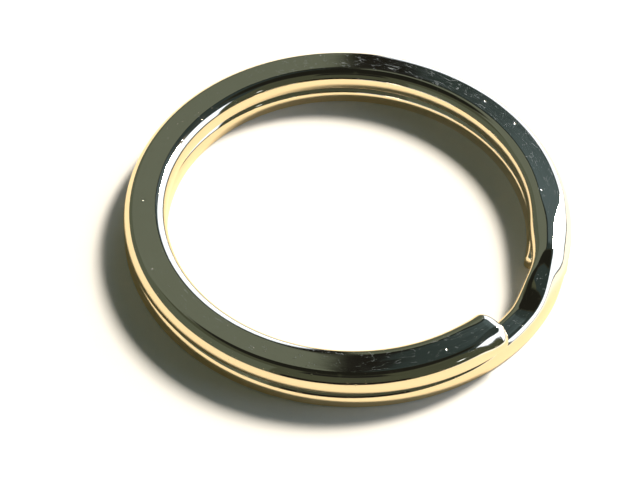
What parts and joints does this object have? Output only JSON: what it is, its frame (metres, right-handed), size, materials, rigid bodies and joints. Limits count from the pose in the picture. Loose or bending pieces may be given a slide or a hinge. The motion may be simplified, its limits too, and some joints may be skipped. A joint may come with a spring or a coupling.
{
  "type": "split key ring",
  "caption": "Flat split ring of plated spring steel, wound from flattened wire that steps down beside its free end, for holding keys.",
  "frame": {"origin": "centre of the ring, on the plane that its lower turn rests on", "axes": "+Z is the ring's axis and points up, from the lower turn to the upper one; +X points to where the wire starts to step down, 12 degrees clockwise of it, and the upper free end lies 43.5 degrees clockwise of +X"},
  "size_m": [0.03, 0.03, 0.0026],
  "materials": {
    "plated_wire": "polished"
  },
  "bodies": {
    "root": {"split_ring": "plated_wire"}
  },
  "joints": []
}
